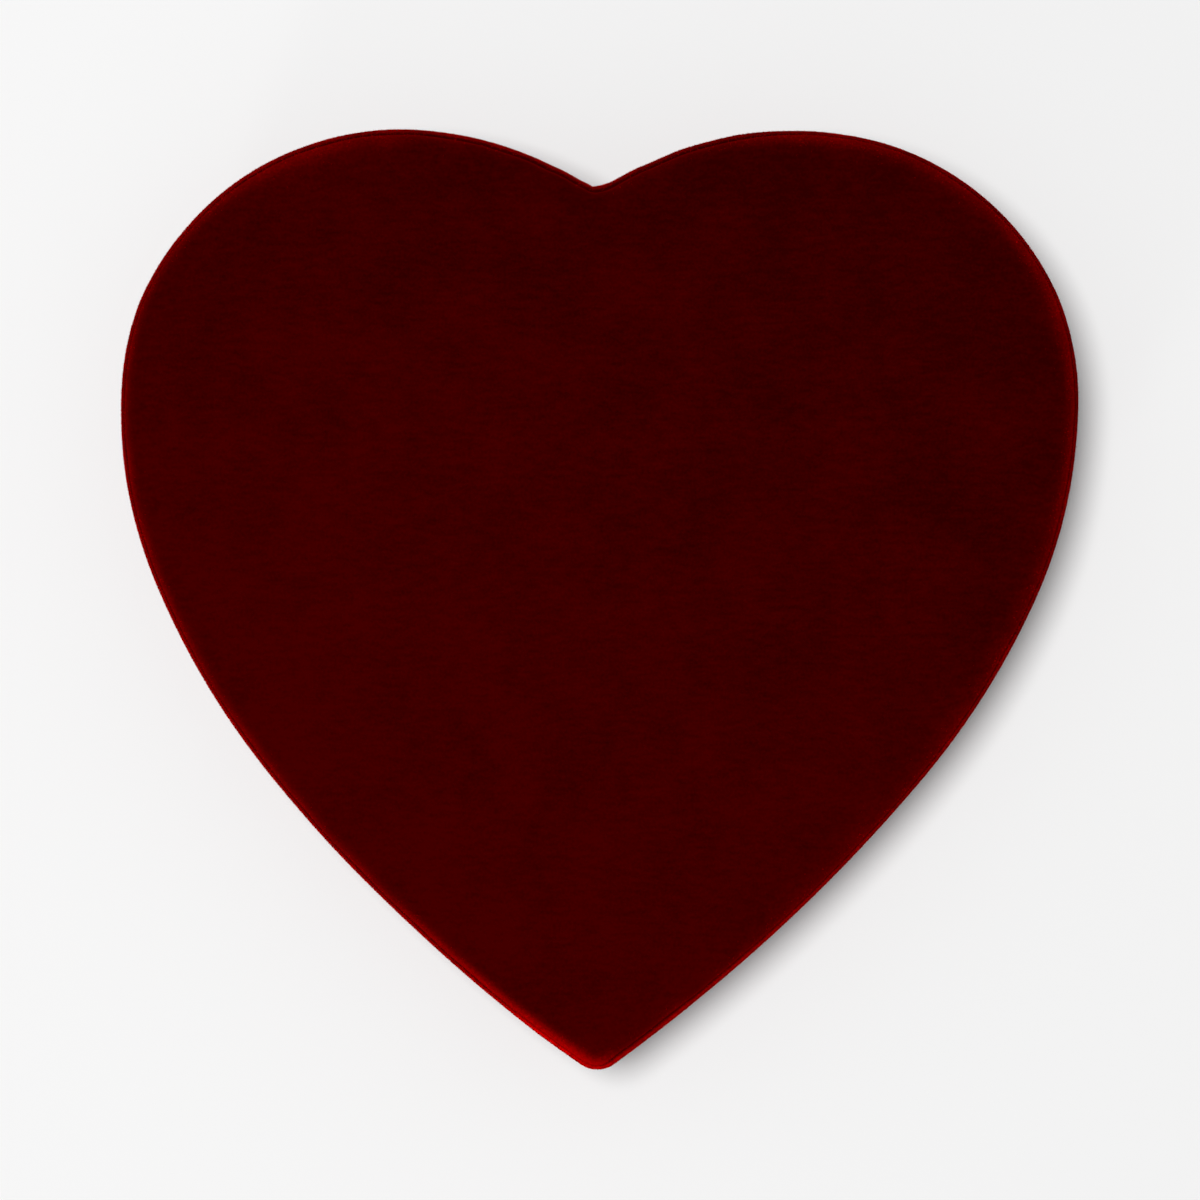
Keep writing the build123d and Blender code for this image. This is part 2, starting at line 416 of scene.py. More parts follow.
def topped(stops, top, outline=heart):
    """Skin through stops of insets and heights, with a swollen top on the last."""
    flat, faces, rise = top
    side = strips([ring_at(inset, z, outline) for inset, z in stops])
    return [side, (np.c_[flat, stops[-1][1] + rise], faces)]


def shell(outside, within, top, outline=heart):
    """Sheet of some thickness drawn over a filling: two skins, closed where they start."""
    foot = strips([ring_at(*stops[0], outline) for stops in (outside, within)])
    return [*topped(outside, top, outline), *topped(within, top, outline), foot]


def solid(stops, top, outline=heart):
    """Filling under such a sheet, flat below."""
    flat, faces = filled([outline(stops[0][0])], plain_grid, plain_margin)
    return [*topped(stops, top, outline), (np.c_[flat, np.full(len(flat), stops[0][1])], faces)]


# Cloth is blown up at ten times its size, which suits the solver better
cloth_scale = 10
cloth_steps = 20
held_within = 0.1


def puffed(flat, faces, held, pressure):
    """Rise of a flat sheet that its filling pushes up between the points where it is held."""
    mesh = bpy.data.meshes.new("cloth")
    mesh.from_pydata((np.c_[flat, np.zeros(len(flat))] * MM * cloth_scale).tolist(), [], faces)
    sheet = shown("cloth", mesh)
    sheet.vertex_groups.new(name="held").add(np.flatnonzero(held).tolist(), 1, "REPLACE")
    cloth = sheet.modifiers.new("cloth", "CLOTH")
    cloth.settings.vertex_group_mass = "held"
    cloth.settings.use_pressure = True
    cloth.settings.uniform_pressure_force = pressure
    cloth.settings.effector_weights.gravity = 0
    cloth.collision_settings.use_collision = False
    for step in range(1, cloth_steps + 1):
        bpy.context.scene.frame_set(step)
    blown = sheet.evaluated_get(bpy.context.evaluated_depsgraph_get()).data
    places = np.empty(3 * len(flat))
    blown.vertices.foreach_get("co", places)
    bpy.data.objects.remove(sheet)
    bpy.context.scene.frame_set(1)
    return places[2::3] / (MM * cloth_scale)


# Materials
def srgb(code):
    """Linear colour from an sRGB hex code."""
    shares = [int(code[n : n + 2], 16) / 255 for n in (1, 3, 5)]
    return (*[c / 12.92 if c <= 0.04045 else ((c + 0.055) / 1.055) ** 2.4 for c in shares], 1)


def add(tree, kind, inputs=None, **settings):
    """One node with its settings, values and links."""
    made = tree.nodes.new(kind)
    for key, value in settings.items():
        setattr(made, key, value)
    for key, value in (inputs or {}).items():
        socket = made.inputs[key]
        if isinstance(value, bpy.types.NodeSocket):
            tree.links.new(value, socket)
        else:
            socket.default_value = value
    return made


def blank(name):
    """New material with its tree, its shader and its object coordinates."""
    material = bpy.data.materials.new(name)
    material.use_nodes = True
    tree = material.node_tree
    shader = tree.nodes["Principled BSDF"]
    return material, tree, shader, add(tree, "ShaderNodeTexCoord").outputs["Object"]


def per_mm(size):
    """Texture scale whose features are this many millimetres across."""
    return 1 / (size * MM)


# Sizes of what shows in the finishes: velvet, single hairs, paper and lacquer
streak_length = 4
streak_width = 1.3
patch_size = 17
tuft_size = 0.7
hair_tuft_size = 1.2
paper_cloud_size = 6
paper_gloss_spread = 0.08
peel_size = 3.5
thin_place_size = 30
# Painted light: the velvet's colour is made lighter towards the lower left, where the low lamp
# stands
lower_left_painted_light = (-1.4, -1.8, 0)


def velvet():
    """Rayon pile velvet: the pile drinks light from above and its sheen glows red where seen edge
    on; its colour carries a painted highlight on the bends and painted light towards the lower
    left.
    """
    material, tree, shader, place = blank("velvet_rayon_pile")
    streak = (per_mm(streak_length), per_mm(streak_width), per_mm(streak_width))
    along = {"Vector": place, "Scale": streak}
    rows = add(tree, "ShaderNodeMapping", along).outputs[0]
    ribs = {"Vector": rows, "Scale": 1.0, "Detail": 4.0}
    streaks = add(tree, "ShaderNodeTexNoise", ribs).outputs[0]
    crushed = {"Vector": place, "Scale": per_mm(patch_size), "Detail": 5.0, "Roughness": 0.6}
    patches = add(tree, "ShaderNodeTexNoise", crushed).outputs[0]
    grain = {"Vector": place, "Scale": per_mm(tuft_size), "Detail": 2.0}
    tufts = add(tree, "ShaderNodeTexNoise", grain).outputs[0]
    some = add(tree, "ShaderNodeMath", {0: streaks, 1: patches}, operation="ADD").outputs[0]
    all_three = add(tree, "ShaderNodeMath", {0: some, 1: tufts}, operation="ADD").outputs[0]
    # Painted light: the tone rises towards the lower left
    painted_light_slope_inputs = {0: place, 1: lower_left_painted_light}
    painted_light_slope = add(tree, "ShaderNodeVectorMath", painted_light_slope_inputs, operation="DOT_PRODUCT").outputs["Value"]
    laid = add(tree, "ShaderNodeMath", {0: all_three, 1: painted_light_slope}, operation="ADD").outputs[0]
    spread = {"Value": laid, "From Min": 1.03, "From Max": 1.83}
    tone = add(tree, "ShaderNodeMapRange", spread).outputs[0]
    shades = {0: tone, 6: srgb("#2b0000"), 7: srgb("#400000")}
    pile = add(tree, "ShaderNodeMix", shades, data_type="RGBA").outputs[2]
    # Painted highlight: the nap attribute lays bright red over the colour of the shoulder and the
    # lip
    opened = add(tree, "ShaderNodeAttribute", attribute_name="nap").outputs["Fac"]
    uneven = {"Value": tufts, "From Min": 0.3, "From Max": 0.7, "To Min": 0.133, "To Max": 0.267}
    ragged = add(tree, "ShaderNodeMapRange", uneven).outputs[0]
    painted_highlight_share = add(tree, "ShaderNodeMath", {0: opened, 1: ragged}, operation="MULTIPLY").outputs[0]
    bends = {0: painted_highlight_share, 6: pile, 7: srgb("#e00000")}
    colour = add(tree, "ShaderNodeMix", bends, data_type="RGBA").outputs[2]
    nap = {"Height": tufts, "Strength": 0.5, "Distance": 0.12 * MM}
    bump = add(tree, "ShaderNodeBump", nap).outputs[0]
    tree.links.new(colour, shader.inputs["Base Color"])
    tree.links.new(bump, shader.inputs["Normal"])
    shader.inputs["Roughness"].default_value = 1.0
    shader.inputs["Specular IOR Level"].default_value = 0.0
    shader.inputs["Sheen Weight"].default_value = 0.2
    shader.inputs["Sheen Roughness"].default_value = 0.5
    shader.inputs["Sheen Tint"].default_value = srgb("#d40000")
    return material


def velvet_hair():
    """Single hairs of rayon pile seen side on: bright clear red, no two quite alike."""
    material, tree, shader, place = blank("velvet_rayon_hair")
    tufts = {"Vector": place, "Scale": per_mm(hair_tuft_size), "Detail": 3.0}
    tone = add(tree, "ShaderNodeTexNoise", tufts).outputs[0]
    spread = {"Value": tone, "From Min": 0.3, "From Max": 0.7}
    mixed = add(tree, "ShaderNodeMapRange", spread).outputs[0]
    shades = {0: mixed, 6: srgb("#7a0000"), 7: srgb("#d80000")}
    colour = add(tree, "ShaderNodeMix", shades, data_type="RGBA")
    tree.links.new(colour.outputs[2], shader.inputs["Base Color"])
    shader.inputs["Roughness"].default_value = 0.8
    shader.inputs["Specular IOR Level"].default_value = 0.0
    return material


def paper(name, dark, light, rough, fibre, bump_depth, shine=0.2):
    """Uncoated or calendered paper: a fine felt of fibres, a little cloudy against the light."""
    material, tree, shader, place = blank(name)
    clouds = {"Vector": place, "Scale": per_mm(paper_cloud_size), "Detail": 6.0, "Roughness": 0.65}
    look = add(tree, "ShaderNodeTexNoise", clouds).outputs[0]
    colour = add(tree, "ShaderNodeMix", {0: look, 6: srgb(dark), 7: srgb(light)}, data_type="RGBA")
    felt = {"Vector": place, "Scale": per_mm(fibre), "Detail": 5.0, "Roughness": 0.7}
    height = add(tree, "ShaderNodeTexNoise", felt).outputs[0]
    relief = {"Height": height, "Strength": 0.4, "Distance": bump_depth * MM}
    bump = add(tree, "ShaderNodeBump", relief).outputs[0]
    dull, bright = rough + paper_gloss_spread, rough - paper_gloss_spread
    gloss = {"Value": height, "To Min": bright, "To Max": dull}
    sheen = add(tree, "ShaderNodeMapRange", gloss).outputs[0]
    tree.links.new(colour.outputs[2], shader.inputs["Base Color"])
    tree.links.new(bump, shader.inputs["Normal"])
    tree.links.new(sheen, shader.inputs["Roughness"])
    shader.inputs["Specular IOR Level"].default_value = shine
    return material


def gold_plastic():
    """Vacuum formed styrene with a gold lacquer: broad soft highlights and a faint orange peel."""
    material, tree, shader, place = blank("styrene_gold_lacquer")
    peel = {"Vector": place, "Scale": per_mm(peel_size), "Detail": 2.0}
    waves = add(tree, "ShaderNodeTexNoise", peel).outputs[0]
    drawn = {"Vector": place, "Scale": per_mm(thin_place_size), "Detail": 3.0}
    thin = add(tree, "ShaderNodeTexNoise", drawn).outputs[0]
    shades = {0: thin, 6: srgb("#8f6a26"), 7: srgb("#b58a3c")}
    colour = add(tree, "ShaderNodeMix", shades, data_type="RGBA")
    bump = add(tree, "ShaderNodeBump", {"Height": waves, "Strength": 0.15, "Distance": 0.1 * MM})
    gloss = add(tree, "ShaderNodeMapRange", {"Value": thin, "To Min": 0.26, "To Max": 0.4})
    tree.links.new(colour.outputs[2], shader.inputs["Base Color"])
    tree.links.new(bump.outputs[0], shader.inputs["Normal"])
    tree.links.new(gloss.outputs[0], shader.inputs["Roughness"])
    shader.inputs["Metallic"].default_value = 0.75
    return material


def open_foam(name, dark, light, cell):
    """Soft filling, foam or wadding: pale, matt and full of small hollows, darkened with painted
    shade.
    """
    material, tree, shader, place = blank(name)
    cell_depth_and_shade = add(tree, "ShaderNodeTexVoronoi", {"Vector": place, "Scale": per_mm(cell)}).outputs[0]
    # Painted shade: the colour darkens where the bump sinks the hollows deepest
    colour = add(tree, "ShaderNodeMix", {0: cell_depth_and_shade, 6: srgb(light), 7: srgb(dark)}, data_type="RGBA")
    hollows = {"Height": cell_depth_and_shade, "Strength": 0.6, "Distance": 0.3 * MM}
    bump = add(tree, "ShaderNodeBump", hollows, invert=True)
    tree.links.new(colour.outputs[2], shader.inputs["Base Color"])
    tree.links.new(bump.outputs[0], shader.inputs["Normal"])
    shader.inputs["Roughness"].default_value = 0.95
    shader.inputs["Sheen Weight"].default_value = 0.2
    return material


velvet_red = velvet()
velvet_hairs = velvet_hair()
card = paper(
    "card_grey_board_white_lined", "#cfc8b8", "#e4dfd2", rough=0.85, fibre=0.5, bump_depth=0.05
)
stay_paper = paper(
    "kraft_stay_paper", "#a98855", "#c2a06c", rough=0.75, fibre=0.4, bump_depth=0.04
)
lining_paper = paper(
    "lining_paper_ivory", "#e4ddcb", "#f1ecdf", rough=0.7, fibre=0.35, bump_depth=0.03
)
pad_paper = paper(
    "glassine_pad_paper", "#eee6d4", "#f8f3e6", rough=0.4, fibre=0.6, bump_depth=0.04, shine=0.5
)
wrap_paper = paper(
    "wrap_paper_red_matt", "#560306", "#6a060a", rough=0.8, fibre=0.45, bump_depth=0.04
)
gold = gold_plastic()
foam = open_foam("polyether_foam", "#c9c0a2", "#efe8d2", cell=0.8)
wadding = open_foam("cellulose_wadding", "#d8d8d6", "#f6f6f4", cell=1.6)


# Padded panel on top of the lid
panel_lip_gap = 0.05
panel_roll = 3.6
panel_fold = 0.6
panel_crown = 0.5
panel_pressure = 0.05
shoulder_turn = 0.35
panel_grid = 2.5
panel_margin = 1.2
panel_wave = 34
panel_slice = 0.3
panel_unevenness = 0.25
panel_fold_steps = 7
panel_roll_steps = 19
filling_steps = 9
# Edges of the panel's cover and of what lies under it
panel_rim = panel_edge + panel_lip_gap
panel_core = panel_rim + velvet_thickness + glue_line


def panel_swell():
    """Top of the panel, held at its shoulder and pushed up as far as the velvet lets the foam."""
    outline = panel_heart(panel_rim + panel_roll)
    flat, faces = filled([outline], panel_grid, panel_margin)
    rise = puffed(flat, faces, away(flat, outline) < held_within, panel_pressure)
    places = [Vector((x / panel_wave, y / panel_wave, panel_slice)) for x, y in flat]
    waves = np.array([noise.noise(p) for p in places])
    crowned = panel_crown * (1 - np.exp(-rise / panel_crown))
    return flat, faces, crowned * (1 + panel_unevenness * waves)


def shoulder_highlight_and_hairs(depth, strength_of_highlight_and_hairs, reach):
    """Painted highlight and hair thickness at a depth in from the panel's edge, none on its side.
    """
    return strength_of_highlight_and_hairs * np.minimum(depth / shoulder_turn, 1) * bell(depth, 0, reach)


def panel_cover(top):
    """Velvet drawn over the foam, round the card's edge and turned under it."""
    middle = (panel_rim + panel_roll, panel_top - panel_roll)
    outside = [(panel_rim + panel_turn_under, panel_low), (panel_rim + 2 * panel_fold, panel_low)]
    fold = (panel_rim + panel_fold, panel_low + panel_fold)
    outside += arc_stops(*fold, panel_fold, 270, 180, panel_fold_steps)
    outside += arc_stops(*middle, panel_roll, 180, 90, panel_roll_steps)
    turned = panel_low + velvet_thickness
    within = [(panel_rim + panel_turn_under, turned), (panel_rim + velvet_thickness, turned)]
    within += arc_stops(*middle, panel_roll - velvet_thickness, 180, 90, filling_steps)
    parts = shell(outside, within, top, panel_heart)
    # The nap attribute holds the painted highlight of the shoulder and the thickness of its hairs
    nap = [np.zeros(len(vertices)) for vertices, faces in parts]
    strength_of_highlight_and_hairs = np.maximum(round_way(panel_highlight_and_hairs, highlight_and_hairs_unevenness), 0)
    reach = round_way(panel_highlight_and_hairs_reach)
    above = panel_low + panel_fold
    depth = np.array([inset - panel_rim if z > above else 0 for inset, z in outside])
    nap[0] = shoulder_highlight_and_hairs(depth[:, None], strength_of_highlight_and_hairs, reach).ravel()
    gaps = np.linalg.norm(top[0][:, None] - panel_heart(panel_rim + panel_roll), axis=2)
    nearest = gaps.argmin(axis=1)
    nap[1] = shoulder_highlight_and_hairs(panel_roll + gaps.min(axis=1), strength_of_highlight_and_hairs[nearest], reach[nearest])
    return piece("panel_velvet_cover", parts, velvet_red, nap=nap)


def panel_card():
    """Card under the foam, cut to the panel's own outline."""
    flat, faces = filled([panel_heart(panel_core)], plain_grid, plain_margin)
    stops = [(panel_core, level("panel_board", 0)), (panel_core, level("panel_board", 1))]
    level_top = (flat, faces, np.zeros(len(flat)))
    return piece("panel_card_board", solid(stops, level_top, panel_heart), card)


def panel_filling(top):
    """Foam sheet, rounded off at its edge."""
    roll = panel_roll - velvet_thickness - glue_line
    low_turn = degrees(acos(max(0, 1 - (foam_top - foam_low) / roll)))
    stops = arc_stops(panel_core + roll, foam_top - roll, roll, 90 + low_turn, 90, filling_steps)
    return piece("panel_foam_sheet", solid(stops, top, panel_heart), foam)


# Velvet band of the lid
lip_round = 0.58
lip_dip = 0.45
lip_depth = 0.9
lip_spread = 0.5
band_fold = 0.5
band_fold_steps = 6
band_margin = 2
band_steps = 9
lip_turned_to = 15
lip_steps = 13
groove_step = 0.1


def lid_band():
    """Velvet band: in under the wall, up the outside and over the top, its ends in the cleft."""
    low = band_foot + velvet_thickness
    pressed = lip_level - lip_dip
    profile = arc_stops(band_fold, band_foot + band_fold, band_fold, 270, 180, band_fold_steps)
    heights = np.linspace(band_foot + band_margin, lip_level - band_margin, band_steps)
    profile += [(0, z) for z in heights]
    profile += arc_stops(lip_round, lip_level - lip_round, lip_round, 180, lip_turned_to, lip_steps)
    profile += [(2 * lip_round + groove_step, pressed)]
    profile += [(velvet_turn_over, pressed), (velvet_turn_over, lid_top_level)]
    profile += [(velvet_thickness, lid_top_level), (velvet_thickness, low)]
    profile += [(velvet_turn_outer, low), (velvet_turn_outer, band_foot + velvet_turn_in)]
    profile += [(velvet_turn_inner, band_foot + velvet_turn_in)]
    inner_fold = (velvet_turn_inner - band_fold, band_foot + band_fold)
    profile += arc_stops(*inner_fold, band_fold, 0, -90, band_fold_steps)
    parts = [swept(profile, velvet_joint_gap, lid_heart)]
    # The nap attribute holds the painted highlight of the lip and the thickness of its hairs
    strength_of_highlight_and_hairs = np.maximum(round_way(lip_highlight_and_hairs, lip_highlight_and_hairs_unevenness), 0)
    crest = round_way(lip_highlight_and_hairs_crest)
    inset, z = np.array(profile).T[:, :, None]
    nap = (z > lip_level - lip_depth) * strength_of_highlight_and_hairs * bell(inset, crest, lip_spread)
    nap = np.hstack([nap, nap[:, :1]])
    return piece("lid_band_velvet", parts, velvet_red, nap=[nap])


# Pile of the velvet, where it is seen edge on
hair_width = 0.11
thickest_nap = 1.2
shortest_hair = 0.6
longest_hair = 1.1
root_seed = 7
lean_seed = 11
size_seed = 5


def hair_shape(length):
    """One tapered hair, a closed spike much coarser than a real one so that it shows."""
    turns = (0, 2 * pi / 3, 4 * pi / 3)
    foot = [(hair_width / 2 * MM * cos(t), hair_width / 2 * MM * sin(t), 0) for t in turns]
    mesh = bpy.data.meshes.new("velvet_hair")
    mesh.from_pydata([*foot, (0, 0, length * MM)], [], [(0, 2, 1), (0, 1, 3), (1, 2, 3), (2, 0, 3)])
    return shown("velvet_hair", mesh)


def node_tree(name, labels):
    """Empty Geometry Nodes tree with named inputs, their identifiers and their sockets."""
    tree = bpy.data.node_groups.new(name, "GeometryNodeTree")
    sockets = {}
    for label, kind in labels.items():
        socket = tree.interface.new_socket(label, in_out="INPUT", socket_type="NodeSocket" + kind)
        sockets[label] = socket.identifier
    tree.interface.new_socket("Made", in_out="OUTPUT", socket_type="NodeSocketGeometry")
    return tree, sockets, add(tree, "NodeGroupInput").outputs


def pile_tree():
    """Hairs set all over a surface, as thick as its nap says, leaning this way and that."""
    labels = {
        "Velvet": "Geometry",
        "Hair": "Object",
        "Hairs per square metre": "Float",
        "Lean": "Vector",
        "Lean back": "Vector",
        "Finish": "Material",
    }
    tree, sockets, given = node_tree("velvet_pile", labels)
    stored = {"Name": "nap"}
    nap = add(tree, "GeometryNodeInputNamedAttribute", stored, data_type="FLOAT").outputs[0]
    capped = {0: nap, 1: thickest_nap}
    grown_out = add(tree, "ShaderNodeMath", capped, operation="MINIMUM").outputs[0]
    thick = {0: grown_out, 1: given["Hairs per square metre"]}
    density = add(tree, "ShaderNodeMath", thick, operation="MULTIPLY").outputs[0]
    sown = {"Mesh": given["Velvet"], "Density": density, "Seed": root_seed}
    roots = add(tree, "GeometryNodeDistributePointsOnFaces", sown).outputs
    leaning = {"Min": given["Lean back"], "Max": given["Lean"], "Seed": lean_seed}
    lean = add(tree, "FunctionNodeRandomValue", leaning, data_type="FLOAT_VECTOR").outputs[0]
    turn = add(tree, "FunctionNodeEulerToRotation", {0: lean}).outputs[0]
    stood = {"Rotation": roots["Rotation"], "Rotate By": turn}
    aimed = add(tree, "FunctionNodeRotateRotation", stood, rotation_space="LOCAL").outputs[0]
    lengths = {2: shortest_hair, 3: longest_hair, "Seed": size_seed}
    sizes = add(tree, "FunctionNodeRandomValue", lengths, data_type="FLOAT").outputs[1]
    hair = add(tree, "GeometryNodeObjectInfo", {"Object": given["Hair"]}).outputs["Geometry"]
    grown = {"Points": roots["Points"], "Instance": hair, "Rotation": aimed, "Scale": sizes}
    pile = add(tree, "GeometryNodeInstanceOnPoints", grown).outputs[0]
    whole = add(tree, "GeometryNodeRealizeInstances", {0: pile}).outputs[0]
    finished = {"Geometry": whole, "Material": given["Finish"]}
    add(tree, "NodeGroupOutput", {0: add(tree, "GeometryNodeSetMaterial", finished).outputs[0]})
    return tree, sockets


def made_by_nodes(name, source, tree, sockets, values):
    """Plain mesh of what a Geometry Nodes tree makes from a piece."""
    modifier = source.modifiers.new(tree.name, "NODES")
    modifier.node_group = tree
    for label, value in values.items():
        modifier[sockets[label]] = value
    graph = bpy.context.evaluated_depsgraph_get()
    mesh = bpy.data.meshes.new_from_object(source.evaluated_get(graph))
    source.modifiers.remove(modifier)
    mesh.name = name
    return shown(name, mesh)


def velvet_pile(name, source, per_square_mm, length, lean):
    """Hairs of one velvet piece."""
    hair = hair_shape(length)
    tree, sockets = pile_tree()
    values = {
        "Hair": hair,
        "Hairs per square metre": per_square_mm / MM**2,
        "Lean": (lean, lean, pi),
        "Lean back": (-lean, -lean, -pi),
        "Finish": velvet_hairs,
    }
    made = made_by_nodes(name, source, tree, sockets, values)
    bpy.data.objects.remove(hair)
    return made


# Card walls and paper wrap
card_edge = 0.15
wrap_start_turn = 260
wrap_low_steps = 4
wrap_steps = 5


def wall(name, outer, inner, low, high, outline=heart):
    """Card strip bent round the heart, its cut edges a little softened."""
    soft = card_edge
    profile = [(outer + soft, low), (outer, low + soft), (outer, high - soft), (outer + soft, high)]
    profile += [(inner - soft, high), (inner, high - soft)]
    profile += [(inner, low + soft), (inner - soft, low)]
    return piece(name, [swept(profile, card_joint_gap, outline)], card)


def base_wrap():
    """Paper wrap, turned under the bottom and over the rim."""
    roll = paper_thickness
    skin = base_outer + paper_thickness
    profile = [(base_outer + wrap_turn_under, wrap_low), (base_outer + roll, wrap_low)]
    foot = (base_outer + roll, wrap_low + roll)
    profile += arc_stops(*foot, roll, wrap_start_turn, 180, wrap_low_steps)
    profile += arc_stops(base_outer + roll, rim_level - roll, roll, 180, 90, wrap_steps)
    profile += arc_stops(wrap_turn_inner - roll, rim_level - roll, roll, 90, 0, wrap_steps)
    turned_end = rim_level - wrap_turn_in
    profile += [(wrap_turn_inner, turned_end), (wrap_turn_outer, turned_end)]
    profile += [(wrap_turn_outer, base_wall_top), (skin, base_wall_top)]
    profile += [(skin, base_wall_low), (base_outer + wrap_turn_under, base_wall_low)]
    return piece("base_wrap_paper", [swept(profile)], wrap_paper)


# Candy tray, its rolls, flutes and steps
mouth_roll = 1.2
cup_round = 3.0
cup_flutes = 20
flute_depth = 0.45
cup_sides = 80
tray_roll = 0.8
mouth_steps = 5
cup_steps = 6
flutes_from_share = 0.15
flutes_to_share = 0.85
floor_dome = 0.25
web_grid = 6
web_margin = 2
web_overlap = 0.3
tray_roll_steps = 5
tray_bend_angle = 50


def cavity_places():
    """Staggered rows about the line of the lobe centres, where a cavity has room for its land."""
    room = heart(tray_edge + tray_sheet + cavity_land + cavity_radius)
    rows = int(heart_length // cavity_row_pitch)
    columns = int(heart_width // cavity_pitch)
    places = []
    for row in range(-rows, rows + 1):
        shift = cavity_pitch / 2 if row % 2 else 0
        for column in range(-columns, columns + 1):
            places.append((column * cavity_pitch + shift, lobe_y + row * cavity_row_pitch))
    places = np.array(places)
    return places[inside(places, room)]


def cup():
    """One fluted cavity, from the roll at its mouth down to its floor."""
    floor = tray_low + tray_sheet
    slope = tan(radians(cavity_draft))
    low_radius = cavity_radius - (tray_top - floor) * slope
    stops = []
    for t in np.linspace(0, pi / 2, mouth_steps):
        radius = cavity_radius + mouth_roll * (1 - sin(t))
        stops.append((radius, tray_top - mouth_roll * (1 - cos(t)), 0))
    for share in np.linspace(flutes_from_share, flutes_to_share, cup_steps):
        z = tray_top + (floor - tray_top) * share
        stops.append((cavity_radius - (tray_top - z) * slope, z, sin(pi * share)))
    for t in np.linspace(0, pi / 2, cup_steps):
        stops.append((low_radius - cup_round * (1 - cos(t)), floor + cup_round * (1 - sin(t)), 0))
    turns = np.linspace(0, 2 * pi, cup_sides, endpoint=False)
    rings = []
    for radius, z, fluting in stops:
        radii = radius + flute_depth * fluting * np.cos(cup_flutes * turns)
        rings.append(np.c_[radii * np.cos(turns), radii * np.sin(turns), np.full(cup_sides, z)])
    vertices, faces = strips(rings)
    vertices = np.vstack([vertices, [[0, 0, floor + floor_dome]]])
    last = (len(rings) - 1) * cup_sides
    faces += [(last + n, last + (n + 1) % cup_sides, len(vertices) - 1) for n in range(cup_sides)]
    return vertices, faces


def tray_tree():
    """Cups set at the tray's places and joined to its flange."""
    labels = {"Flange": "Geometry", "Places": "Object", "Cup": "Object", "Finish": "Material"}
    tree, sockets, given = node_tree("candy_tray", labels)
    places = add(tree, "GeometryNodeObjectInfo", {"Object": given["Places"]}).outputs["Geometry"]
    one = add(tree, "GeometryNodeObjectInfo", {"Object": given["Cup"]}).outputs["Geometry"]
    cups = add(tree, "GeometryNodeInstanceOnPoints", {"Points": places, "Instance": one}).outputs[0]
    both = add(tree, "GeometryNodeJoinGeometry")
    for half in (given["Flange"], cups):
        tree.links.new(half, both.inputs[0])
    whole = add(tree, "GeometryNodeRealizeInstances", {0: both.outputs[0]}).outputs[0]
    finished = {"Geometry": whole, "Material": given["Finish"]}
    add(tree, "NodeGroupOutput", {0: add(tree, "GeometryNodeSetMaterial", finished).outputs[0]})
    return tree, sockets


def formed_tray():
    """Vacuum formed tray: flange, skirt and cavities drawn from one sheet."""
    places = cavity_places()
    edge = tray_edge + tray_roll
    turns = np.linspace(0, 2 * pi, cup_sides, endpoint=False)
    mouth = (cavity_radius + mouth_roll) * np.c_[np.cos(turns), np.sin(turns)]
    holes = [mouth + place for place in places]
    flat, faces = filled([heart(edge)] + holes, web_grid, web_margin)
    cut = cavity_radius + mouth_roll - web_overlap
    web = [f for f in faces if away(flat[list(f)].mean(axis=0)[None], places)[0] > cut]
    stops = [(edge, tray_top)]
    stops += arc_stops(edge, tray_top - tray_roll, tray_roll, 90, 180, tray_roll_steps)
    stops.append((tray_edge, tray_top - tray_skirt))
    skirt = strips([ring_at(inset, z) for inset, z in stops])
    flange = piece("tray_flange", [(np.c_[flat, np.full(len(flat), tray_top)], web), skirt], gold)
    form = piece("tray_cup", [cup()], gold)
    spots = piece("tray_places", [(np.c_[places, np.zeros(len(places))], [])], gold)
    tree, sockets = tray_tree()
    values = {"Places": spots, "Cup": form, "Finish": gold}
    made = made_by_nodes("candy_tray_formed", flange, tree, sockets, values)
    for source in (flange, form, spots):
        bpy.data.objects.remove(source)
    sewn_up(made.data, tray_bend_angle)
    if sum(f.normal.z for f in made.data.polygons) < 0:
        made.data.flip_normals()
    sheet = made.modifiers.new("sheet", "SOLIDIFY")
    sheet.thickness, sheet.offset = tray_sheet * MM, -1
    return made


# Cushion pad
quilt_pitch = 26
quilt_steps = 12
quilt_pressure = 50
quilt_swell = 2.4
quilt_seat = 0.8
pad_side = 0.5
pad_roll = 0.9
pad_roll_steps = 5
pad_fall = 4
quilt_line_share = 0.01


def cushion_swell():
    """Top of the pad, held at its edge and its embossed lines and pushed up by the wadding."""
    outline = heart(pad_edge + pad_roll)
    step = quilt_pitch / quilt_steps
    flat, faces = filled([outline], step * sqrt(2), step / 2, slant=45)
    lines = np.c_[flat[:, 0] + flat[:, 1], flat[:, 0] - flat[:, 1]] / sqrt(2) / quilt_pitch
    edge_gap = away(flat, outline)
    held = (np.abs(lines % 1 - 0.5).min(axis=1) < quilt_line_share) | (edge_gap < held_within)
    puff = np.minimum(puffed(flat, faces, held, quilt_pressure), quilt_swell)
    return flat, faces, puff + quilt_seat * (1 - np.exp(-edge_gap / pad_fall))


def pad_stops(gap, low):
    """Side of the pad and the roll at its top, a gap inside its outer skin."""
    stops = [(pad_edge + gap, low)]
    middle = (pad_edge + pad_roll, pad_low + pad_side)
    return stops + arc_stops(*middle, pad_roll - gap, 180, 90, pad_roll_steps)


def pad_cover(top):
    """Embossed paper over the wadding."""
    parts = shell(pad_stops(0, pad_low), pad_stops(paper_thickness, pad_low), top)
    return piece("pad_cover_paper", parts, pad_paper)


def pad_filling(top):
    """Wadding that fills the paper."""
    stops = pad_stops(paper_thickness + glue_line, level("pad_wadding", 0))
    return piece("pad_wadding_sheet", solid(stops, top), wadding)


